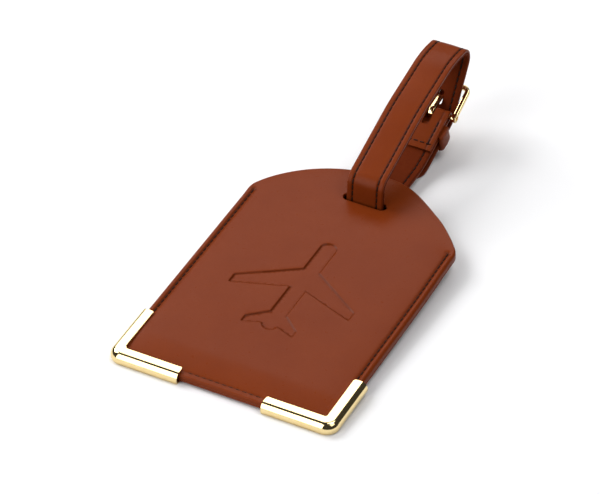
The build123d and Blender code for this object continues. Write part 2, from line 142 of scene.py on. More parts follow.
class Paint:
    """A new material, with short ways to add nodes to its Principled shader."""

    def __init__(self, name, colour, roughness, metallic=0.0):
        self.material = bpy.data.materials.new(name)
        self.material.use_nodes = True
        self.tree = self.material.node_tree
        self.shader = self.tree.nodes["Principled BSDF"]
        self.set("Base Color", (*colour, 1))
        self.set("Roughness", roughness)
        self.set("Metallic", metallic)
        self.where = self.add("ShaderNodeTexCoord").outputs["Object"]

    def set(self, socket, value):
        self.shader.inputs[socket].default_value = value

    def add(self, kind, **settings):
        node = self.tree.nodes.new(kind)
        for key, value in settings.items():
            if key in node.inputs:
                node.inputs[key].default_value = value
            else:
                setattr(node, key, value)
        return node

    def join(self, output, node, socket):
        self.tree.links.new(output, node.inputs[socket])

    def drive(self, socket, output):
        self.join(output, self.shader, socket)

    def noise(self, scale, detail, roughness=0.55):
        node = self.add("ShaderNodeTexNoise", Scale=scale, Detail=detail, Roughness=roughness)
        self.join(self.where, node, "Vector")
        return node.outputs["Fac"]

    def mapped(self, value, low, high, to_low, to_high):
        ends = {"From Min": low, "From Max": high, "To Min": to_low, "To Max": to_high}
        node = self.add("ShaderNodeMapRange", **ends)
        self.join(value, node, "Value")
        return node.outputs["Result"]

    def mixed(self, factor, first, second):
        """Two colours mixed, each a plain colour or another node's output."""
        node = self.add("ShaderNodeMix", data_type="RGBA")
        self.join(factor, node, MIX_FACTOR)
        for socket, value in ((MIX_FIRST, first), (MIX_SECOND, second)):
            if isinstance(value, tuple):
                node.inputs[socket].default_value = (*value, 1)
            else:
                self.join(value, node, socket)
        return node.outputs[MIX_RESULT]

    def bumps(self, height, strength, distance):
        node = self.add("ShaderNodeBump", Strength=strength, Distance=distance)
        self.join(height, node, "Height")
        self.drive("Normal", node.outputs["Normal"])


def leather(name, colour, deep, roughness, grain, specular):
    """Smooth dyed leather: a fine grain, soft clouds of colour, and painted shade that darkens its grooves,
    with a dark joint line between the strap's layers.
    """
    paint = Paint(name, colour, roughness)
    clouds, mottle = paint.noise(70, 3), paint.noise(900, 5, 0.6)
    tone = paint.mixed(paint.mapped(clouds, 0.35, 0.7, 0, 0.5), colour, deep)
    tone = paint.mixed(paint.mapped(mottle, 0.35, 0.7, 0, 0.35), tone, deep)
    # painted shade: a per-point attribute darkens the stitch grooves, the debossed outline and the window's
    # rim; on the strap it also darkens the joint between its two layers
    shade_and_joint = paint.add("ShaderNodeAttribute", attribute_name="shade_and_joint").outputs["Fac"]
    shade_and_joint_colour = tuple(c * 0.2 for c in deep)
    paint.drive("Base Color", paint.mixed(shade_and_joint, tone, shade_and_joint_colour))
    paint.drive("Roughness", paint.mapped(mottle, 0.3, 0.7, roughness - 0.05, roughness + 0.07))
    paint.set("Specular IOR Level", specular)
    cells = paint.add("ShaderNodeTexVoronoi", Scale=1900.0, feature="SMOOTH_F1")
    paint.join(paint.where, cells, "Vector")
    height = paint.add("ShaderNodeMath", operation="MULTIPLY_ADD")
    paint.join(cells.outputs["Distance"], height, 0)
    height.inputs[1].default_value = 0.7
    paint.join(paint.noise(3800, 3, 0.6), height, 2)
    paint.bumps(height.outputs[0], grain, 0.00006)
    return paint.material


def thread(name, colour):
    """Waxed sewing thread: plies that twist round, seen as fine slanted ridges whose crests carry a painted
    highlight.
    """
    paint = Paint(name, colour, 0.6)
    paint.set("Specular IOR Level", 0.12)
    plies = paint.add("ShaderNodeTexWave", Scale=700.0, bands_direction="DIAGONAL", Distortion=1.0)
    paint.join(paint.where, plies, "Vector")
    ridge = plies.outputs["Fac"]
    # painted highlight: the crests of the ply ridges are coloured lighter, on top of their bumps
    ply_highlight = tuple(c * 2.2 for c in colour)
    paint.drive("Base Color", paint.mixed(paint.mapped(ridge, 0, 1, 0, 0.5), colour, ply_highlight))
    paint.bumps(ridge, 0.5, 0.00005)
    return paint.material


def brass(name, colour, roughness=0.07):
    """Polished pale brass with faint rubbing marks."""
    paint = Paint(name, colour, roughness, 1.0)
    wear = paint.noise(450, 4)
    warm = tuple(c * f for c, f in zip(colour, (0.93, 0.86, 0.7)))
    paint.drive("Base Color", paint.mixed(paint.mapped(wear, 0.4, 0.75, 0, 0.4), colour, warm))
    paint.drive("Roughness", paint.mapped(wear, 0.3, 0.7, roughness, roughness + 0.05))
    paint.bumps(paint.noise(3000, 2), 0.03, 0.00002)
    return paint.material


def card_paper():
    """Uncoated card with ruled grey lines to write on, one every 8 mm."""
    paint = Paint("paper", (0.86, 0.84, 0.78), 0.75)
    fibres = paint.noise(1600, 5, 0.7)
    split = paint.add("ShaderNodeSeparateXYZ")
    paint.join(paint.where, split, 0)
    rows = paint.add("ShaderNodeMath", operation="PINGPONG")
    paint.join(split.outputs["X"], rows, 0)
    rows.inputs[1].default_value = 0.004
    line = paint.mapped(rows.outputs[0], 0.00008, 0.00014, 1, 0)
    tone = paint.mixed(paint.mapped(fibres, 0.3, 0.7, 0, 0.35), (0.88, 0.86, 0.8), (0.78, 0.75, 0.67))
    paint.drive("Base Color", paint.mixed(line, tone, (0.25, 0.27, 0.3)))
    paint.bumps(fibres, 0.2, 0.00003)
    return paint.material


def plain(name, colour, roughness, scale):
    """A dull sheet material with a speckle of its own colour."""
    paint = Paint(name, colour, roughness)
    speckle = paint.noise(scale, 5, 0.7)
    darker = tuple(c * 0.7 for c in colour)
    paint.drive("Base Color", paint.mixed(paint.mapped(speckle, 0.3, 0.7, 0, 0.3), colour, darker))
    paint.bumps(speckle, 0.2, 0.00004)
    return paint.material


def clear_film():
    """Clear plastic film, very slightly uneven."""
    paint = Paint("film", (1, 1, 1), 0.06)
    paint.set("Transmission Weight", 1.0)
    paint.set("IOR", 1.15)
    paint.bumps(paint.noise(60, 2), 0.05, 0.0002)
    return paint.material


TAN, DEEP_TAN = (0.18, 0.0305, 0.0048), (0.148, 0.0225, 0.0032)
# painted shade: the strap's lining is the same leather as the strap, coloured darker for the shade inside
# the loop
SHADED_LINING_TAN, DEEP_SHADED_LINING_TAN = (0.13, 0.02, 0.0035), (0.09, 0.012, 0.003)
tag_leather = leather("tag_leather", TAN, DEEP_TAN, 0.31, 0.25, 0.08)
strap_leather = leather("strap_leather", TAN, DEEP_TAN, 0.34, 0.4, 0.08)
shaded_lining_leather = leather("shaded_lining_leather", SHADED_LINING_TAN, DEEP_SHADED_LINING_TAN, 0.7, 0.3, 0.03)
brown_thread = thread("brown_thread", (0.016, 0.006, 0.004))
foot_thread = thread("foot_thread", (0.05, 0.013, 0.005))
polished_brass = brass("polished_brass", (0.86, 0.68, 0.345))
paper = card_paper()
board_grey = plain("board", (0.5, 0.43, 0.34), 0.8, 2500)
lining_cloth = plain("lining_cloth", (0.12, 0.07, 0.05), 0.85, 4000)
film = clear_film()


# ---- mesh helpers
def piece(name, points, faces, material, sharp=55, shade_and_joint=None):
    """A smooth-shaded mesh object from tag-frame points in millimetres."""
    mesh = bpy.data.meshes.new(name)
    mesh.from_pydata([place(p) for p in points], [], faces)
    # per-point darkening: painted shade in grooves, and on the strap the dark joint between its layers
    if shade_and_joint:
        layer = mesh.attributes.new("shade_and_joint", "FLOAT", "POINT")
        layer.data.foreach_set("value", shade_and_joint)
    shape = bmesh.new()
    shape.from_mesh(mesh)
    bmesh.ops.remove_doubles(shape, verts=shape.verts, dist=1e-7)
    bmesh.ops.recalc_face_normals(shape, faces=shape.faces)
    shape.to_mesh(mesh)
    shape.free()
    mesh.polygons.foreach_set("use_smooth", [True] * len(mesh.polygons))
    mesh.set_sharp_from_angle(angle=radians(sharp))
    mesh.materials.append(material)
    made = bpy.data.objects.new(name, mesh)
    bpy.context.scene.collection.objects.link(made)
    return made


def strips(faces, *rows, closed=True):
    """Quads between each row of vertex numbers and the next."""
    for first, second in zip(rows, rows[1:]):
        count = len(first)
        for i in range(count if closed else count - 1):
            j = (i + 1) % count
            faces.append((first[i], first[j], second[j], second[i]))


def add_row(points, row):
    """Put a row's points after the others, and give their numbers."""
    first = len(points)
    points += [tuple(point) for point in row]
    return list(range(first, len(points)))


def tube(points, faces, sections, joined=False):
    """Join closed sections one after another. The two ends are capped, or joined to each other."""
    rows = [add_row(points, section) for section in sections]
    strips(faces, *rows)
    if joined:
        strips(faces, rows[-1], rows[0])
    else:
        faces += [tuple(rows[0]), tuple(reversed(rows[-1]))]


def tube_piece(name, sections, material, sharp, joined=False, shade_and_joint=None):
    points, faces = [], []
    tube(points, faces, sections, joined)
    return piece(name, points, faces, material, sharp, shade_and_joint)


def circle(middle, first, second, radius, count):
    """Points round a circle in the plane of two directions."""
    turns = [2 * pi * i / count for i in range(count)]
    return [middle + (first * cos(a) + second * sin(a)) * radius for a in turns]


def belongs(made, body, slot, *nodes):
    """The body that a piece rides on, its slot (not used), and the CAD nodes that it stands for."""
    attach(made, body)
    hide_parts(*nodes)


def cut(target, cutters):
    """Take the cutters' shapes out of a mesh."""
    for cutter in cutters:
        taking = target.modifiers.new("cut", "BOOLEAN")
        taking.operation = "DIFFERENCE"
        taking.solver = "EXACT"
        taking.object = cutter
    bpy.context.view_layer.update()
    shaped = target.evaluated_get(bpy.context.evaluated_depsgraph_get())
    mesh = bpy.data.meshes.new_from_object(shaped)
    target.modifiers.clear()
    target.data = mesh
    mesh.set_sharp_from_angle(angle=radians(50))


# ---- the tag's outline
def arc_points(centre, radius, start, stop, count):
    """Points and outward directions along an arc, without its last point."""
    row = []
    for i in range(count):
        a = start + (stop - start) * i / count
        row.append((centre[0] + radius * cos(a), centre[1] + radius * sin(a), cos(a), sin(a)))
    return row


def line_points(start, stop, out, step):
    """Points and outward directions along a line, without its last point."""
    count = ceil(hypot(stop[0] - start[0], stop[1] - start[1]) / step - 1e-6)
    row = []
    for i in range(count):
        t = i / count
        row.append((start[0] + (stop[0] - start[0]) * t, start[1] + (stop[1] - start[1]) * t, *out))
    return row


SHOULDER_RISE = sqrt((DOME - SHOULDER) ** 2 - (HALF - SHOULDER) ** 2)
DOME_CENTRE = DOME_TOP - DOME
SHOULDER_U = DOME_CENTRE + SHOULDER_RISE
SHOULDER_TURN = atan2(SHOULDER_RISE, HALF - SHOULDER)


def tag_outline(step):
    """(x, u, outward x, outward u) round the tag, anticlockwise from the foot's left end."""
    foot, side = HALF - FOOT, HALF - SHOULDER
    steps = ceil(SHOULDER * SHOULDER_TURN / step)
    foot_steps = 14
    dome_steps = ceil(DOME * (pi - 2 * SHOULDER_TURN) / step)
    return (
        line_points((-foot, 0), (foot, 0), (0, -1), step)
        + arc_points((foot, FOOT), FOOT, -pi / 2, 0, foot_steps)
        + line_points((HALF, FOOT), (HALF, SHOULDER_U), (1, 0), step)
        + arc_points((side, SHOULDER_U), SHOULDER, 0, SHOULDER_TURN, steps)
        + arc_points((0, DOME_CENTRE), DOME, SHOULDER_TURN, pi - SHOULDER_TURN, dome_steps)
        + arc_points((-side, SHOULDER_U), SHOULDER, pi - SHOULDER_TURN, pi, steps)
        + line_points((-HALF, SHOULDER_U), (-HALF, FOOT), (-1, 0), step)
        + arc_points((-foot, FOOT), FOOT, pi, 1.5 * pi, foot_steps)
    )


def rounded_outline(middle_u, half_x, half_u, r, corner_steps, step):
    """(x, u, outward x, outward u) round a rounded rectangle on the tag's middle line."""
    a, b = half_x - r, half_u - r
    corners = ((-a, middle_u - b), (a, middle_u - b), (a, middle_u + b), (-a, middle_u + b))
    found = []
    for side in range(4):
        (ax, au), (bx, bu) = corners[side], corners[(side + 1) % 4]
        start = (side - 1) * pi / 2
        nx, nu = cos(start), sin(start)
        found += line_points((ax + r * nx, au + r * nu), (bx + r * nx, bu + r * nu), (nx, nu), step)
        found += arc_points((bx, bu), r, start, start + pi / 2, corner_steps)
    return found


def rounded_distance(x, u, middle_u, half_x, half_u, r):
    """Distance to a rounded rectangle's edge, less than nought inside it."""
    dx = abs(x) - (half_x - r)
    du = abs(u - middle_u) - (half_u - r)
    return hypot(max(dx, 0), max(du, 0)) + min(max(dx, du), 0) - r


SLOT = (SLOT_U, SLOT_LENGTH / 2, SLOT_WIDTH / 2, SLOT_WIDTH / 2)
WINDOW = ((WINDOW_LOW + WINDOW_HIGH) / 2, WINDOW_HALF, (WINDOW_HIGH - WINDOW_LOW) / 2, WINDOW_CORNER)
slot_outline = rounded_outline(*SLOT, 6, 0.5)
window_outline = rounded_outline(*WINDOW, 8, 1.2)


def slot_distance(x, u):
    return rounded_distance(x, u, *SLOT)


def window_distance(x, u):
    return rounded_distance(x, u, *WINDOW)


def ring(outline, out):
    """The outline's points, moved outwards by `out`."""
    return [(x + out * nx, u + out * nu) for x, u, nx, nu in outline]


def edge_distance(x, u):
    """How far inside the tag's outline a point lies, near enough."""
    dome = DOME - hypot(x, u - DOME_CENTRE) if u > DOME_CENTRE else DOME
    return min(HALF - abs(x), u, dome)


def settled(x, u):
    """Where a point of the flat pattern lies on this tag, whose right shoulder is drawn in."""
    near = 1 - smooth(edge_distance(x, u), 2.5, 13)
    down = 3.0 * smooth(x, 5, 23) * smooth(u, 76, 97) * near
    across = 0.5 * smooth(x, 12, 34) * smooth(u, 55, 85) * near
    return x - across, u - down


# ---- the debossed aeroplane
FIGURE_U, FUSELAGE, FUSELAGE_WIDE = 50.0, 43.0, 5.4
NOSE = FIGURE_U + FUSELAGE / 2
FINS = ((20.0, 13.0, 10.0, 4.0, NOSE - 12.0), (8.5, 7.0, 7.0, 3.0, NOSE - 33.0))
FIGURE_DEPTH = 0.34
FIGURE_ROUND = 0.35


def polygon_distance(x, u, corners):
    """Distance to a polygon's edge, less than nought inside it."""
    nearest, inside = 1e9, False
    for (ax, au), (bx, bu) in zip(corners, corners[1:] + corners[:1]):
        ex, eu = bx - ax, bu - au
        t = min(max(((x - ax) * ex + (u - au) * eu) / (ex * ex + eu * eu), 0), 1)
        nearest = min(nearest, hypot(x - ax - t * ex, u - au - t * eu))
        if (au > u) != (bu > u) and x < ax + ex * (u - au) / eu:
            inside = not inside
    return -nearest if inside else nearest


def fin_corners(reach, sweep, root, tip, start):
    """One pair of wings or tail fins, a little smaller so that rounding fills it out."""
    g = FIGURE_ROUND
    return [(0, start - g), (reach - g, start - sweep - g), (reach - g, start - sweep - tip + g),
            (0, start - root + g), (g - reach, start - sweep - tip + g), (g - reach, start - sweep - g)]


FIN_SHAPES = [fin_corners(*fin) for fin in FINS]


def figure_distance(x, u):
    """Distance to the aeroplane's outline, less than nought inside it."""
    if abs(x) > 23 or abs(u - FIGURE_U) > 25:
        return 9.0
    half = FUSELAGE / 2 - FUSELAGE_WIDE / 2
    body = hypot(x, max(abs(u - FIGURE_U) - half, 0)) - FUSELAGE_WIDE / 2
    fins = min(polygon_distance(x, u, shape) for shape in FIN_SHAPES) - FIGURE_ROUND
    return min(body, fins)


def snapped(x, u, distance, levels):
    """The point moved onto the nearest of some lines that run along an outline."""
    here = distance(x, u)
    level = min(levels, key=lambda value: abs(value - here))
    e = 0.02
    gx = (distance(x + e, u) - distance(x - e, u)) / (2 * e)
    gu = (distance(x, u + e) - distance(x, u - e)) / (2 * e)
    size = max(hypot(gx, gu), 0.5)
    return x - (here - level) * gx / size, u - (here - level) * gu / size


# ---- the leather's two faces
def under_guard(x, u):
    """Whether a point lies under a guard's lips."""
    return (abs(x) > HALF - GUARD_LIP - 0.1 and u < GUARD_U + 0.1) or (
        u < GUARD_LIP + 0.1 and abs(x) > GUARD_X - 0.1
    )


def side_groove(x, u):
    """How deep the side stitching draws the leather in, from 0 to 1."""
    along = smooth(u, 18.0, 20.0) * (1 - smooth(u, SEAM_HIGH - 0.1, SEAM_HIGH + 0.5))
    hole = 0.5 - 0.5 * cos(2 * pi * (u - SEAM_HIGH) / PITCH)
    off = abs(x) - SEAM_X
    end = bell(hypot(off, u - SEAM_HIGH), 0.75)
    return max(along * bell(off, 0.42) * (0.78 + 0.22 * hole), 1.1 * end)


def foot_groove(x, u):
    along = 1 - smooth(abs(x), GUARD_X - 1.6, GUARD_X - 0.6)
    hole = bell((x / PITCH - round(x / PITCH)) * PITCH, 0.5)
    return along * bell(u - SEAM_INSET, 0.3) * (0.5 + 0.5 * hole)


def edge_roll(d, radius):
    """How far a rounded edge has fallen at a distance d inside it."""
    return radius - sqrt(max(radius**2 - max(radius - d, 0) ** 2, 0))


def edge_radius(x, u):
    """The front edge is tight along the foot and fuller up the sides."""
    sides = smooth(u, 1.0, 5.0) * (1 - smooth(u, SHOULDER_U - 4, SHOULDER_U + 8))
    return 0.5 + 0.4 * sides


def front_height(x, u, d):
    """w of the front leather at a point that lies d inside the outline."""
    stitched = 1 - smooth(u, SEAM_HIGH - 4, SEAM_HIGH + 5)
    side = exp(-((max(SEAM_X - abs(x), 0) / 4.6) ** 1.4)) * stitched
    foot = max(1 - max(u - SEAM_INSET, 0) / 9.5, 0) ** 1.3
    rim = exp(-((max(d - 0.5, 0) / 3.0) ** 1.2)) * (1 - stitched)
    h = FRONT + PILLOW - 0.45 * side - 0.86 * foot * (1 - 0.45 * side) - 0.25 * rim
    outside = max(abs(x) - SEAM_X, 0)
    h += 0.14 * bell(outside - 0.95, 0.6) * stitched * smooth(u, 2, 6)
    h -= 0.34 * side_groove(x, u) + 0.1 * foot_groove(x, u)
    h -= edge_roll(d, edge_radius(x, u))
    h += 0.035 * noise.noise(Vector((x / 11, u / 11, 0.3)))
    if under_guard(x, u):
        h = min(h, GUARD_HIGH - GUARD_SHEET - 0.06)
    figure = figure_distance(x, u)
    if figure < 1.2:
        h -= FIGURE_DEPTH * (1 - smooth(figure, -0.28, 0.02)) + 0.05 * bell(figure + 0.24, 0.14)
        h -= 0.06 * exp(-max(figure, 0) / 0.45)
    return h


# Painted shade: how far the front's colour is darkened in the stitch grooves, at the seams' end dimples and
# round the debossed aeroplane.
def front_groove_shade(x, u):
    figure = figure_distance(x, u)
    line = 0.5 * bell(figure + 0.14, 0.2) if figure < 1.2 else 0
    return min(0.6 * side_groove(x, u) + line + 0.5 * foot_groove(x, u), 1)


def back_height(x, u, d):
    """w of the back leather's outer face, which looks the other way."""
    h = BACK + edge_roll(d, 0.55)
    h += 0.3 * side_groove(x, u) + 0.12 * foot_groove(x, u)
    h += 0.02 * noise.noise(Vector((x / 12, u / 12, 7.1)))
    if under_guard(x, u):
        h = max(h, GUARD_SHEET + 0.04)
    rim = window_distance(x, u)
    h += 0.1 * bell(rim - 0.9, 0.22)
    return min(h + edge_roll(max(rim, 0), 0.3), BACK_INSIDE - 0.1)


# Painted shade: how far the back's colour is darkened in the stitch grooves and along the window's rim.
def back_groove_shade(x, u):
    return min(0.85 * side_groove(x, u) + 0.35 * bell(window_distance(x, u) - 0.9, 0.25), 1)


def filled(loops, extra, inside):
    """Triangles between closed loops, with extra points inside. Gives points and faces."""
    points, edges = [], []
    for loop in loops:
        first = len(points)
        points += loop
        edges += [(first + i, first + (i + 1) % len(loop)) for i in range(len(loop))]
    points += extra
    flat, _, faces, _, _, _ = geometry.delaunay_2d_cdt([Vector(p) for p in points], edges, [], 0, 1e-5)
    kept = []
    for face in faces:
        x = sum(flat[i].x for i in face) / 3
        u = sum(flat[i].y for i in face) / 3
        if inside(x, u):
            kept.append(tuple(face))
    return [(p.x, p.y) for p in flat], kept


def grid(step, keep):
    """Staggered points all over the tag where `keep` says so."""
    found = []
    for row in range(int(DOME_TOP / step) + 1):
        start = -HALF + (step / 2 if row % 2 else 0)
        for column in range(int(2 * HALF / step) + 1):
            x, u = start + column * step, row * step
            if keep(x, u):
                found.append((x, u))
    return found


RIM = 2.45                      # inside this the front is a grid; outside it, rings
RINGS = (0, 0.03, 0.08, 0.15, 0.25, 0.36, 0.5, 0.66, 0.84, 1.05, 1.25, 1.45, 1.6, 1.72, 1.84, 1.96,
         2.1, 2.22, 2.34, RIM)
SLOT_RINGS = (0, 0.06, 0.14, 0.25, 0.42, 0.7)


def leather_face(name, height, shade_and_joint, holes, inside_w, wall_w, extra, material):
    """One leather of the tag: its face, its outer edge, its holes' edges and its inside."""
    outline = tag_outline(0.45)
    points, faces, marks = [], [], []

    def row(flat, w_of, mark_of=lambda x, u: 0.0):
        marks.extend(mark_of(x, u) for x, u in flat)
        return add_row(points, [(x, u, w_of(x, u)) for x, u in flat])

    def fill(loops, extra, margin, *row_functions):
        def inside(x, u):
            return edge_distance(x, u) > 0.4 and all(d(x, u) > margin - 0.02 for _, d in holes)

        flat, found = filled(loops, extra, inside)
        numbers = row(flat, *row_functions)
        faces.extend(tuple(numbers[i] for i in face) for face in found)

    rims = [row(ring(outline, -d), lambda x, u, d=d: height(x, u, d), shade_and_joint) for d in RINGS]
    strips(faces, *rims)
    edge_w = [points[i][2] for i in rims[0]]
    walls = [rims[0]]
    for share in (0.08, 0.3, 0.55, 0.8, 0.95, 1.0):
        swell = 0.06 * sin(pi * share) - 0.08 * smooth(share, 0.9, 1)
        walls.append(row(ring(outline, swell), lambda x, u: 0))
        for i, w in zip(walls[-1], edge_w):
            points[i] = (*points[i][:2], w + (wall_w - w) * share)
    for turned_w in (wall_w, inside_w):
        walls.append(row(ring(outline, -TURNED), lambda x, u: turned_w))
    strips(faces, *walls)

    loops, inner_loops = [ring(outline, -RIM)], [ring(outline, -TURNED)]
    down = 1 if height is front_height else -1
    for hole, _ in holes:
        mouths = []
        for out in SLOT_RINGS:
            roll = down * edge_roll(out, 0.35)
            mouths.append(row(ring(hole, out),
                              lambda x, u: height(x, u, edge_distance(x, u)) - roll, shade_and_joint))
        strips(faces, *mouths)
        strips(faces, mouths[0], row(ring(hole, 0), lambda x, u: inside_w))
        loops.append(ring(hole, SLOT_RINGS[-1]))
        inner_loops.append(ring(hole, 0))

    fill(loops, extra, SLOT_RINGS[-1], lambda x, u: height(x, u, edge_distance(x, u)), shade_and_joint)
    fill(inner_loops, [], 0, lambda x, u: inside_w)
    points = [(*settled(x, u), w) for x, u, w in points]
    return piece(name, points, faces, material, 60, marks)


def front_points():
    """Where the front needs points: everywhere, and closely along the aeroplane's outline."""
    coarse = grid(0.8, lambda x, u: edge_distance(x, u) > RIM + 0.45 and slot_distance(x, u) > 1.2
                  and abs(figure_distance(x, u)) > 0.55)
    levels = (-0.45, -0.3, -0.18, -0.06, 0.06, 0.3)
    found = {}
    for x, u in grid(0.24, lambda x, u: abs(figure_distance(x, u)) < 0.42):
        x, u = snapped(x, u, figure_distance, levels)
        found.setdefault((round(x / 0.1), round(u / 0.1)), (x, u))
    return coarse + list(found.values())


def back_points():
    return grid(1.2, lambda x, u: edge_distance(x, u) > RIM + 0.6 and slot_distance(x, u) > 1.4
                and window_distance(x, u) > 1.3)


slot_hole, window_hole = (slot_outline, slot_distance), (window_outline, window_distance)
front = leather_face("front_leather", front_height, front_groove_shade, [slot_hole], FRONT_INSIDE,
                     BACK_INSIDE + 0.02, front_points(), tag_leather)
back = leather_face("back_leather", back_height, back_groove_shade, [slot_hole, window_hole], BACK_INSIDE,
                    BACK_INSIDE, back_points(), tag_leather)
belongs(front, "tag", "leather", "front_panel")
belongs(back, "tag", "leather", "back_panel")


# ---- sheets inside the tag
def sheet(name, low, high, material, slot):
    """A flat sheet inside the tag, a little smaller than its outline."""
    loops = [ring(tag_outline(0.8), -TURNED), ring(slot_outline, 0.6)]

    def inside(x, u):
        return edge_distance(x, u) > 0.4 and slot_distance(x, u) > 0.55

    flat, found = filled(loops, [], inside)
    count = len(flat)
    points = [(*settled(x, u), w) for w in (low, high) for x, u in flat]
    faces = found + [tuple(i + count for i in face) for face in found]
    start = 0
    for loop in loops:
        lower = list(range(start, start + len(loop)))
        strips(faces, lower, [i + count for i in lower])
        start += len(loop)
    belongs(piece(f"{name}_sheet", points, faces, material, 40), "tag", slot, name)


sheet("stiffener_board", 2.05, FRONT_INSIDE - 0.01, board_grey, "board")
sheet("pocket_lining", 1.85, 2.04, lining_cloth, "lining")
sheet("window_film", BACK_INSIDE + 0.01, 1.45, film, "film")


# ---- thread
STITCH_LONG, STITCH_RADIUS, STITCH_DIP = 1.55, 0.22, 0.484
STITCH_SHAPE = ((-0.52, 0.34, 0.7), (-0.44, 0.12, 0.95), (-0.3, 0.02, 1), (0, 0, 1.04),
                (0.3, 0.02, 1), (0.44, 0.12, 0.95), (0.52, 0.34, 0.7))   # place, dip and girth


def stitching(name, places, material):
    """A row of stitches from (centre, along, out) triples. Each one's ends turn down into their holes."""
    points, faces = [], []
    for centre, along, out in places:
        centre, along, out = Vector(centre), Vector(along).normalized(), Vector(out).normalized()
        side = along.cross(out)
        sections = []
        for t, dip, girth in STITCH_SHAPE:
            middle = centre + along * (t * STITCH_LONG) - out * (dip * STITCH_DIP)
            sections.append(circle(middle, side, out, STITCH_RADIUS * girth, 8))
        tube(points, faces, sections)
    return piece(name, points, faces, material, 80)


def both_faces(x, u, along, raised, back_raised):
    """Where a stitch lies on the front and on the back, above or below the leather there."""
    front_w = front_height(x, u, SEAM_INSET) + raised
    back_w = back_height(x, u, SEAM_INSET) - back_raised
    return [((*settled(x, u), front_w), along, (0, 0, 1)), ((*settled(x, u), back_w), along, (0, 0, -1))]


for word, sign in (("left", -1), ("right", 1)):
    rows = []
    for i in range(int((SEAM_HIGH - GUARD_U) / PITCH)):
        rows += both_faces(sign * SEAM_X, SEAM_HIGH - PITCH * (i + 0.5), (0, 1, 0), 0.14, 0.14)
    belongs(stitching(f"side_stitches_{word}", rows, brown_thread), "tag", "thread", f"side_seam_{word}")

rows = []
for i in range(-5, 6):
    rows += both_faces(i * PITCH, SEAM_INSET, (1, 0, 0), -0.06, -0.02)
belongs(stitching("foot_stitches", rows, foot_thread), "tag", "thread", "bottom_seam")


# ---- corner guards
def guard_section():
    """Rows of (distance from the lip's edge, height, and the same two for the inside).

    It runs over the flat top lip, round a small bevel, down the bulged wall, and back under.
    """
    high = GUARD_HIGH
    rows = [(0.0, high - 0.12, 0.02, high - GUARD_SHEET), (0.03, high - 0.03, 0.05, high - GUARD_SHEET)]
    for out in (0.1, 0.5, 1.3, 2.1, 2.5):
        rows.append((out, high, out, high - GUARD_SHEET))

    def arc(out, w, radius, start, stop, count):
        for i in range(count):
            tilt = radians(start + (stop - start) * i / (count - 1))
            less = max(radius - GUARD_SHEET, 0.05)
            rows.append((out + radius * cos(tilt), w + radius * sin(tilt),
                         out + less * cos(tilt), w + less * sin(tilt)))

    def tilted(tilt):
        return Vector((cos(radians(tilt)), sin(radians(tilt))))

    steep, under = 57, -30
    bevel = Vector((GUARD_FLAT, high - GUARD_BEVEL))
    bulge = bevel + (GUARD_BEVEL - GUARD_BULGE) * tilted(steep)
    low = bulge + GUARD_BULGE * tilted(under)
    foot = low.y / (1 + tilted(under).y)
    arc(*bevel, GUARD_BEVEL, 90, steep, 7)
    arc(*bulge, GUARD_BULGE, steep - 4, under, 16)
    arc(low.x - foot * tilted(under).x, foot, foot, under - 8, -90, 7)
    for out in (2.3, 1.2, 0.1):
        rows.append((out, 0.0, out, GUARD_SHEET))
    rows.append((0.0, 0.08, 0.02, GUARD_SHEET))
    return rows


GUARD_SECTION = guard_section()
GUARD_REACH = max(row[0] for row in GUARD_SECTION)


GUARD_ENDS = (0, 0.05, 0.15, 0.3, 0.45, 0.65, 0.85, 1.0)     # stations in the last mm of each leg


def guard_stations():
    """(lip's edge, outermost edge) across the guard, from one leg's end round to the other's."""
    inner = HALF - GUARD_LIP
    far, foot = inner + GUARD_REACH, GUARD_LIP - GUARD_REACH
    found = [((GUARD_X + e, GUARD_LIP), (GUARD_X + e, foot)) for e in GUARD_ENDS]
    turn_x, turn_u = inner - GUARD_INNER, GUARD_LIP + GUARD_INNER
    start, count = GUARD_X + 1, 12
    for i in range(1, count):
        t = i / count
        found.append(((start + (turn_x - start) * t, GUARD_LIP),
                      (start + (GUARD_CORNER.x - start) * t, foot)))
    bends = 20
    for i in range(bends + 1):
        a = -pi / 2 + pi / 2 * i / bends
        found.append(((turn_x + GUARD_INNER * cos(a), turn_u + GUARD_INNER * sin(a)),
                      (GUARD_CORNER.x + (far - GUARD_CORNER.x) * cos(a),
                       GUARD_CORNER.y + (GUARD_CORNER.y - foot) * sin(a))))
    stop = GUARD_U - 1
    for i in range(1, count):
        t = i / count
        found.append(((inner, turn_u + (stop - turn_u) * t),
                      (far, GUARD_CORNER.y + (stop - GUARD_CORNER.y) * t)))
    found += [((inner, GUARD_U - e), (far, GUARD_U - e)) for e in reversed(GUARD_ENDS)]
    return found


def guard(name, sign, node):
    """A pressed brass corner: one section carried round the corner, with rounded lip ends."""
    stations = guard_stations()
    points, outsides, insides = [], [], []
    for number, (inner, outer) in enumerate(stations):
        outside, inside = [], []
        for out, w, under_out, under_w in GUARD_SECTION:
            for row, o, height in ((outside, out, w), (inside, under_out, under_w)):
                x = inner[0] + (outer[0] - inner[0]) * o / GUARD_REACH
                u = inner[1] + (outer[1] - inner[1]) * o / GUARD_REACH
                if o < 1:
                    back_off = 1 - sqrt(1 - (1 - o) ** 2)
                    if number < len(GUARD_ENDS):
                        x = max(x, GUARD_X + back_off)
                    if number >= len(stations) - len(GUARD_ENDS):
                        u = min(u, GUARD_U - back_off)
                row.append(len(points))
                points.append((sign * x, u, height))
        outsides.append(outside)
        insides.append(inside)
    faces = []
    for rows in (outsides, insides):
        strips(faces, *rows, closed=False)
    for end in (0, -1):
        strips(faces, outsides[end], insides[end], closed=False)
    for edge in (0, -1):
        strips(faces, [row[edge] for row in outsides], [row[edge] for row in insides], closed=False)
    belongs(piece(name, points, faces, polished_brass, 35), "tag", "brass", node)


guard("guard_left", -1, "corner_guard_left")
guard("guard_right", 1, "corner_guard_right")


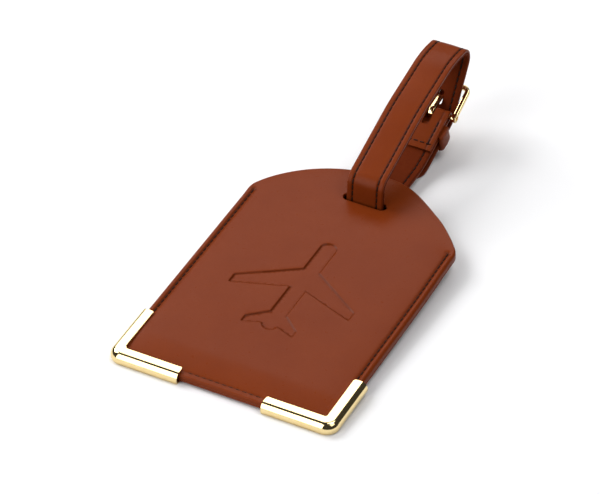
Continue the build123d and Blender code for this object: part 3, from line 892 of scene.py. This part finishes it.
# ---- the strap's line
def in_space(flat, x=0.0):
    """A (u, w) point or direction with its x."""
    return Vector((x, flat[0], flat[1]))


def fold_point(along, out):
    """(u, w) of a point given from the heel bar: along the strap to the slot, and outwards."""
    return HEEL + Vector((-along * cos(SLOPE) + out * sin(SLOPE),
                          -along * sin(SLOPE) - out * cos(SLOPE)))


def straight(start, stop, step, heading):
    """Points and headings along a straight run, without its last point."""
    count = max(ceil((stop - start).length / step), 1)
    return [(start + (stop - start) * i / count, heading) for i in range(count)]


def bent_line(corners, radii, step):
    """Points and headings along straight runs joined by arcs."""
    found = []
    here = corners[0]
    for before, corner, after, radius in zip(corners, corners[1:], corners[2:], radii):
        into, away = (corner - before).normalized(), (after - corner).normalized()
        turn = atan2(into.x * away.y - into.y * away.x, into.dot(away))
        tangent = radius * tan(abs(turn) / 2)
        start = corner - into * tangent
        found += straight(here, start, step, into)
        centre = start + Vector((-into.y, into.x)) * (radius if turn > 0 else -radius)
        count = max(ceil(radius * abs(turn) / step), ceil(abs(turn) / radians(9)), 2)
        for i in range(count):
            spin = Matrix.Rotation(turn * i / count, 2)
            found.append((centre + spin @ (start - centre), spin @ into))
        here = corner + away * tangent
    return found + straight(here, corners[-1], step, away) + [(corners[-1], away)]


FLAT = RING + LAYER
flap_start = fold_point(FLAP, -FLAP_GAP - FLAP_END)
over_bar = [fold_point(-FLAT, -FLAT), fold_point(-FLAT, FLAT)]
under_bend = fold_point((fold_point(0, FLAT).y - UNDER_W) / sin(SLOPE), FLAT)
surface_slope, tip_slope = -tan(LEAN), tan(SLOPE)
tip_bend_u = (HEEL_BEND.y - tip_slope * HEEL_BEND.x) / (surface_slope - tip_slope)
tip_bend = Vector((tip_bend_u, surface_slope * tip_bend_u))
tip = Vector((TIP_U, surface_slope * TIP_U))
STRAP_CORNERS = [flap_start, *over_bar, under_bend, Vector((RISE_U, UNDER_W)), RUN_LOW, RUN_KNEE,
                 RUN_PEAK, FAR_BEND, HEEL_BEND, tip_bend, tip]
STRAP_RADII = [FLAT, FLAT, 30.0, 3.2, 4.5, 60.0, 30.0, 5.0, 8.0, 13.0]
strap_line = bent_line(STRAP_CORNERS, STRAP_RADII, step=0.45)
strap_at = [0.0]                # each point's distance along the line
for (a, _), (b, _) in zip(strap_line, strap_line[1:]):
    strap_at.append(strap_at[-1] + (b - a).length)
STRAP_LONG = strap_at[-1]


def nearest_at(target):
    """The distance along the strap of the point nearest to `target`."""
    pairs = zip(strap_at, strap_line)
    return min(pairs, key=lambda pair: (pair[1][0] - target).length)[0]


def spot(at):
    """(point, heading) at a distance along the strap."""
    for i, (a, b) in enumerate(zip(strap_at, strap_at[1:])):
        if b >= at:
            t = (at - a) / (b - a)
            (p, h), (q, k) = strap_line[i], strap_line[i + 1]
            return p.lerp(q, t), h.lerp(k, t).normalized()
    return strap_line[-1]


BAR_AT = nearest_at(fold_point(-FLAT, 0))
LINING_AT = nearest_at(fold_point(LINING_START, FLAT))
SEAM_AT = nearest_at(fold_point(SEAM_START, FLAT))


def half_width(at):
    """Half the strap's width: a half-round at the tip, and square elsewhere."""
    left = STRAP_LONG - at
    radius = STRAP_HALF + 0.1
    if left >= radius:
        return STRAP_HALF
    return max(sqrt(max(radius**2 - (radius - left) ** 2, 0)), 0.3) * STRAP_HALF / radius


# where the strap's points lie across it, close together at the stitching
COLUMNS = (0, 0.8, 1.6, 2.4, 3.0, 3.4, 3.6, 3.75, 3.88, 4.0, 4.1, 4.2, 4.32, 4.45, 4.6, 4.8, 5.05, 5.3, 5.5)


def strap_dip(x, at):
    """How far the strap's face lies below its nominal height."""
    off = abs(x) - STRAP_SEAM
    hole = 0.5 - 0.5 * cos(2 * pi * (at - SEAM_AT) / PITCH)
    outside = smooth(at, SEAM_AT - 1.2, SEAM_AT - 0.2) * (1 - smooth(at, STRAP_LONG - 3, STRAP_LONG - 2))
    stitched = outside + smooth(at, 1.4, 2.2) * (1 - smooth(at, FLAP - 4, FLAP - 3))
    groove = stitched * bell(off, 0.3) * (0.75 + 0.25 * hole)
    crown = 0.1 * min(abs(x) / STRAP_SEAM, 1) ** 2
    swell = 0.07 * bell(off - 0.85, 0.6)
    return 0.05 + crown - swell + 0.3 * groove


def strap_section(at, near, far, near_round, far_round, faced_out):
    """(x, depth) round one layer of the strap at one place, and how dark each point is painted: shade in
    the stitch grooves, and the dark joint between the layers.
    """
    wide = half_width(at) / STRAP_HALF
    near_turns = [pi / 2 * i / 5 for i in range(1, 6)]
    far_turns = [pi / 2 * i / 4 for i in range(5)]
    half = [(x, near) for x in COLUMNS if x < STRAP_HALF - near_round]
    half += [(STRAP_HALF - near_round * (1 - sin(a)), near + near_round * (1 - cos(a))) for a in near_turns]
    half += [(STRAP_HALF - far_round * (1 - cos(a)), far - far_round * (1 - sin(a))) for a in far_turns]
    half += [(x, far) for x in reversed(COLUMNS) if x < STRAP_HALF - far_round]
    shaped, marks = [], []
    for x, depth in half + [(-x, depth) for x, depth in reversed(half[1:-1])]:
        edge = 1 - smooth(abs(x), STRAP_HALF - 0.6, STRAP_HALF)
        # painted shade in the stitch grooves on each face; on the side, the line where the two layers meet
        # is a dark joint
        if faced_out and depth < (near + far) / 2:
            depth += strap_dip(x, at) * edge
            marks.append(0.55 * bell(abs(x) - STRAP_SEAM, 0.3) * edge)
        elif not faced_out and depth > (near + far) / 2:
            depth -= strap_dip(x, at) * edge
            marks.append(0.5 * bell(abs(x) - STRAP_SEAM, 0.3) * edge)
        else:
            marks.append(0.35 if abs(x) > STRAP_HALF - 0.05 and abs(depth - LAYER) < 0.1 else 0.0)
        shaped.append((x * wide, depth))
    return shaped, marks


def ribbon(name, start, stop, layer_of, faced_out, material):
    """A layer of the strap, swept along its line. layer_of gives (near, far) at a distance."""
    marks, sections = [], []
    rounds = (0.5, 0.14) if faced_out else (0.14, 0.5)
    for at, (point, heading) in zip(strap_at, strap_line):
        if start <= at <= stop:
            out = Vector((-heading.y, heading.x))
            section, shade_and_joint_marks = strap_section(at, *layer_of(at), *rounds, faced_out)
            sections.append([in_space(point - out * depth, x) for x, depth in section])
            marks += shade_and_joint_marks
    return tube_piece(name, sections, material, 60, shade_and_joint=marks)


def outer_layer(at):
    """The outer leather thins towards the flap's end."""
    return 0, LAYER - (LAYER - FLAP_END) * (1 - smooth(at, 0, BAR_AT - 3))


def lining_layer(at):
    return LAYER + 0.01, 2 * LAYER


strap = ribbon("strap_leather", 0, STRAP_LONG, outer_layer, True, strap_leather)
lining = ribbon("strap_lining_leather", LINING_AT, STRAP_LONG, lining_layer, False, shaded_lining_leather)


# ---- the strap's holes
def prism(outline, origin, along, out, depth):
    """A straight cutter: an outline in mm, pushed `depth` both ways along `out`."""
    sections = [[origin + ACROSS * a + along * b + out * (sign * depth) for a, b in outline]
                for sign in (-1, 1)]
    return tube_piece("cutter", sections, strap_leather, 55)


def capsule(length, width, count=20):
    """Points round a slot with half-round ends."""
    r, reach = width / 2, (length - width) / 2
    turns = [2 * pi * (i + 0.5) / count for i in range(count)]
    return [(r * cos(a), reach * (1 if sin(a) >= 0 else -1) + r * sin(a)) for a in turns]


def oblong(half, low, high):
    return [(-half, low), (half, low), (half, high), (-half, high)]


ACROSS = Vector((1, 0, 0))
fold_along = in_space(fold_point(1, 0) - HEEL)
fold_out = in_space(fold_point(0, 1) - HEEL)
tongue_drop = asin((RING + TONGUE_THICK + FAR_BAR_HALF) / FRAME_REACH)
tongue_slope = FRAME_SLOPE - tongue_drop
steep = (HEEL_BEND - FAR_BEND).normalized()
steep_out = Vector((-steep.y, steep.x))
prong_line = Vector((cos(tongue_slope), sin(tongue_slope)))
prong_rise = Vector((-prong_line.y, prong_line.x))
prong_start = prong_rise * (RING + TONGUE_THICK / 2)
strap_middle = (HEEL_BEND - HEEL).dot(steep_out) - LAYER
prong_travel = (strap_middle - prong_start.dot(steep_out)) / prong_line.dot(steep_out)
prong_hole = HEEL + prong_start + prong_line * prong_travel + steep * 0.7

SPARE_HOLES, SPARE_HOLE_WIDE, FREE_END_OUT = (0.6, 9.8), 2.0, 4.4
slot_cutter = prism(oblong(1.3, -6, 3.6), in_space(HEEL), fold_along, fold_out, 2.4)
flap_cutter = prism(oblong(1.2, -3, 5.8), in_space(fold_point(0, -1.4)), fold_along, fold_out, 1.15)
prong_cutter = prism(capsule(4.9, 2.1), in_space(prong_hole), in_space(steep), in_space(steep_out), 2)
hole_cutters = [prism(capsule(SPARE_HOLE_WIDE + 0.001, SPARE_HOLE_WIDE),
                      in_space(fold_point(along, FREE_END_OUT)), fold_along, fold_out, 1.9)
                for along in SPARE_HOLES]
cut(strap, [slot_cutter, flap_cutter, prong_cutter, *hole_cutters])
cut(lining, [prong_cutter, *hole_cutters])
for cutter in (slot_cutter, flap_cutter, prong_cutter, *hole_cutters):
    bpy.data.objects.remove(cutter)


# ---- the strap's thread
def strap_stitch_places(start, stop, depth, facing):
    """Stitches of both rows between two distances along the strap."""
    found = []
    for i in range(ceil((stop - start) / PITCH)):
        point, heading = spot(start + i * PITCH)
        out = Vector((-heading.y, heading.x))
        for x in (-STRAP_SEAM, STRAP_SEAM):
            found.append((in_space(point - out * depth, x), in_space(heading), in_space(out * facing)))
    return found


SUNK = 0.26
STITCH_STOP = STRAP_LONG - 2.5
outer_places = strap_stitch_places(SEAM_AT, STITCH_STOP, SUNK, 1)
flap_places = strap_stitch_places(FLAP - FOLD_SEAM + PITCH / 2, FLAP - 3.5, SUNK, 1)
lining_places = strap_stitch_places(SEAM_AT, STITCH_STOP, 2 * LAYER - SUNK, -1)
strap_thread = stitching("strap_stitches", outer_places + flap_places, brown_thread)
lining_thread = stitching("strap_lining_stitches", lining_places, brown_thread)

flap_out = FLAT - (FLAT - FLAP_GAP - FLAP_END) / FLAP * FOLD_SEAM
fold_middle = fold_point(FOLD_SEAM, -flap_out + 0.05)
rows = [(in_space(fold_middle, i * PITCH), ACROSS, -fold_out) for i in range(-2, 3)]
belongs(stitching("fold_stitches", rows, brown_thread), "strap", "thread", "fold_seam")

strap_slots = {
    strap: ("leather", "strap_outer", "strap_slot_outer", "buckle_end_outer"),
    lining: ("leather_inside", "strap_lining", "strap_slot_lining", "buckle_end_lining"),
    strap_thread: ("thread", "strap_seams", "strap_slot_seams", "buckle_end_seams"),
    lining_thread: ("thread",),
}
for made, (slot, *nodes) in strap_slots.items():
    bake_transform(made)
    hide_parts(*nodes)


# ---- keeper
def keeper():
    """A short leather loop round the strap's two ends, caught under the flap of the fold."""
    free_out = (HEEL_BEND - HEEL).dot(Vector((sin(SLOPE), -cos(SLOPE))))
    low, high = FLAT - 2 * LAYER - 0.015, free_out + KEEPER_GAP
    half = STRAP_HALF + KEEPER_GAP + 0.05
    thinned, narrowed = 0.92, 0.2
    rise = ((0.15, 0), (0.0, 0.2), (0.0, 0.7), (0.12, 1.0), (0.4, 1.22), (1.2, 1.38), (2.8, 1.5),
            (4.4, 1.38), (5.2, 1.22), (5.48, 1.0), (5.6, 0.7), (5.6, 0.2), (5.45, 0))
    sections = []
    for x, o, nx, no in rounded_outline((low + high) / 2, half, (high - low) / 2, 0.5, 6, 0.7):
        hidden = smooth(-no, 0.2, 0.9)
        section = []
        for along, lift in rise:
            lift *= KEEPER_LEATHER / 1.25 * (1 - thinned * hidden)
            along += (KEEPER_LENGTH / 2 - along) * narrowed * hidden
            section.append(in_space(fold_point(KEEPER_START + along, o + lift * no), x + lift * nx))
        sections.append(section)
    made = tube_piece("keeper_loop", sections, strap_leather, 60, joined=True)
    belongs(made, "keeper", "leather", "keeper")


keeper()


# ---- buckle
def rounded_box(half_a, half_b, r):
    """Points round a rounded rectangle, with none between its corners."""
    whole_side = 2 * (half_a + half_b)
    return [(a, b) for a, b, _, _ in rounded_outline(0, half_a, half_b, r, 5, whole_side)]


frame_along = in_space((cos(FRAME_SLOPE), sin(FRAME_SLOPE)))
frame_up = in_space((-sin(FRAME_SLOPE), cos(FRAME_SLOPE)))
heel_3d = in_space(HEEL)


def buckle_frame():
    """Two sides and a far bar in one wire, with an eye at each end."""
    centre_x = FRAME_HALF - FRAME_WIRE / 2
    corner, start = 1.7, 1.0
    turn_v = FRAME_REACH - corner
    line = [(centre_x, start + (turn_v - start) * i / 8, 0, 1) for i in range(9)]
    for i in range(1, 9):
        a = pi / 2 * i / 8
        line.append((centre_x - corner + corner * cos(a), turn_v + corner * sin(a), -sin(a), cos(a)))
    line += [(-x, v, hx, -hv) for x, v, hx, hv in reversed(line)]
    profile = rounded_box(FRAME_WIRE / 2, 0.72, 0.45)
    sections = []
    for x, v, hx, hv in line:
        middle = heel_3d + ACROSS * x + frame_along * v
        outward = ACROSS * hv - frame_along * hx
        sections.append([middle + outward * a + frame_up * b for a, b in profile])
    points, faces = [], []
    tube(points, faces, sections)
    eye = [(6.85, 0.8), (6.8, 1.2), (6.95, 1.4), (7.3, 1.45),       # distance across, radius
           (7.9, 1.45), (8.25, 1.4), (8.4, 1.2), (8.4, 0.76)]
    for sign in (-1, 1):
        rings = [circle(heel_3d + ACROSS * (sign * distance), frame_along, frame_up, radius, 28)
                 for distance, radius in eye]
        tube(points, faces, rings, joined=True)
    made = piece("buckle_wire", points, faces, polished_brass, 40)
    belongs(made, "buckle", "brass", "buckle_frame")


def tongue():
    """The prong: a curled eye round the heel bar and a bar that tapers to a rounded point."""
    along, rise = in_space(prong_line), in_space(prong_rise)
    middle = RING + TONGUE_THICK / 2
    long = FRAME_REACH * cos(tongue_drop) + FRAME_WIRE / 2 + TONGUE_PAST
    line = []
    for i in range(26):
        a = pi / 2 + 2 * pi * 0.86 * (1 - i / 25)
        line.append((middle * cos(a), middle * sin(a), a - pi / 2, 1.0))
    for i in range(1, 21):
        t = i / 20
        size = 1 - 0.35 * smooth(t, 0.55, 1) - 0.35 * smooth(t, 0.95, 1)
        line.append((long * t, middle - 0.1 * smooth(t, 0.8, 1), 0.0, size))
    sections = []
    for a, b, spin, size in line:
        centre = heel_3d + along * a + rise * b
        out = along * -sin(spin) + rise * cos(spin)
        profile = rounded_box(TONGUE_HALF * size, TONGUE_THICK / 2 * min(size + 0.15, 1), 0.3 * size)
        sections.append([centre + ACROSS * p + out * q for p, q in profile])
    made = tube_piece("buckle_prong", sections, polished_brass, 40)
    belongs(made, "tongue", "brass", "buckle_tongue")


buckle_frame()
tongue()


# ---- CAD nodes that stay
for node, material in (("heel_bar", polished_brass), ("id_card", paper), ("pocket_spacer", board_grey)):
    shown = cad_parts[node]
    shown.data.materials.clear()
    shown.data.materials.append(material)


# ---- floor, light and camera
def floor(half, gap):
    """A pale square under the tag, with a very faint unevenness of tone."""
    white, shade = (0.86, 0.86, 0.87), (0.84, 0.84, 0.86)
    paint = Paint("floor_white", white, 0.9)
    paint.drive("Base Color", paint.mixed(paint.mapped(paint.noise(3, 2), 0.3, 0.7, 0, 0.2), white, shade))
    mesh = bpy.data.meshes.new("floor")
    mesh.from_pydata([(-half, -half, 0), (half, -half, 0), (half, half, 0), (-half, half, 0)], [],
                     [(0, 1, 2, 3)])
    mesh.materials.append(paint.material)
    ground = bpy.data.objects.new("floor", mesh)
    ground.location.z = cad_box[0][2] - gap
    bpy.context.scene.collection.objects.link(ground)


def softbox(name, azimuth, elevation, distance, size, power):
    """A large soft light that looks at the tag from a direction given in degrees."""
    ply_highlight = bpy.data.lights.new(name, "AREA")
    ply_highlight.shape = "RECTANGLE"
    ply_highlight.size, ply_highlight.size_y = size
    ply_highlight.energy = power
    lamp = bpy.data.objects.new(name, ply_highlight)
    a, e = radians(azimuth), radians(elevation)
    lamp.location = Vector((sin(a) * cos(e), cos(a) * cos(e), sin(e))) * distance
    lamp.rotation_euler = (-lamp.location).to_track_quat("-Z", "Y").to_euler()
    bpy.context.scene.collection.objects.link(lamp)


def sky(strength):
    """A dim room for the brass to reflect, seen by the camera itself as plain white."""
    world = bpy.data.worlds.new("studio")
    bpy.context.scene.world = world
    world.use_nodes = True
    tree = world.node_tree
    shade = tree.nodes["Background"]
    shade.inputs["Color"].default_value = (1, 1, 1, 1)
    rays = tree.nodes.new("ShaderNodeLightPath")
    share = tree.nodes.new("ShaderNodeMapRange")
    share.inputs["To Min"].default_value = strength
    share.inputs["To Max"].default_value = 1.0
    tree.links.new(rays.outputs["Is Camera Ray"], share.inputs["Value"])
    tree.links.new(share.outputs["Result"], shade.inputs["Strength"])


AZIMUTH, ELEVATION, DISTANCE = radians(26.68), radians(40.14), 1100.0
AIM = Vector((0, 70, 4.4))
LENS, SENSOR = 219.7, 36.0


def camera():
    """A long lens that looks down at the tag from its square end and its right."""
    backward = Vector((sin(AZIMUTH) * cos(ELEVATION), -cos(AZIMUTH) * cos(ELEVATION), sin(ELEVATION)))
    right = Vector((cos(AZIMUTH), sin(AZIMUTH), 0))
    up = backward.cross(right)
    eye = AIM + backward * DISTANCE
    target = AIM - right * 8.98 - up * 0.66
    look = (eye - target).normalized()
    level = (right - look * right.dot(look)).normalized()
    axes = Matrix([turned(level), turned(look.cross(level)), turned(look)]).transposed()
    data = bpy.data.cameras.new("camera")
    data.lens, data.sensor_width = LENS, SENSOR
    data.clip_start, data.clip_end = 0.05, 20
    seen = bpy.data.objects.new("camera", data)
    seen.matrix_world = Matrix.Translation(place(eye)) @ axes.to_4x4()
    bpy.context.scene.collection.objects.link(seen)
    bpy.context.scene.camera = seen


floor(half=1.0, gap=0.00002)
softbox("back_panel", azimuth=-28, elevation=42, distance=1.6, size=(1.5, 0.5), power=7.6)
softbox("front_panel", azimuth=-155, elevation=26, distance=1.8, size=(1.0, 1.75), power=20)
softbox("key", azimuth=-85, elevation=41, distance=1.7, size=(0.9, 0.9), power=20)
softbox("top", azimuth=60, elevation=72, distance=1.8, size=(1.0, 1.0), power=11)
softbox("right_fill", azimuth=100, elevation=50, distance=1.7, size=(0.8, 0.8), power=4)
sky(0.05)
camera()
bpy.context.scene.view_settings.view_transform = "Standard"
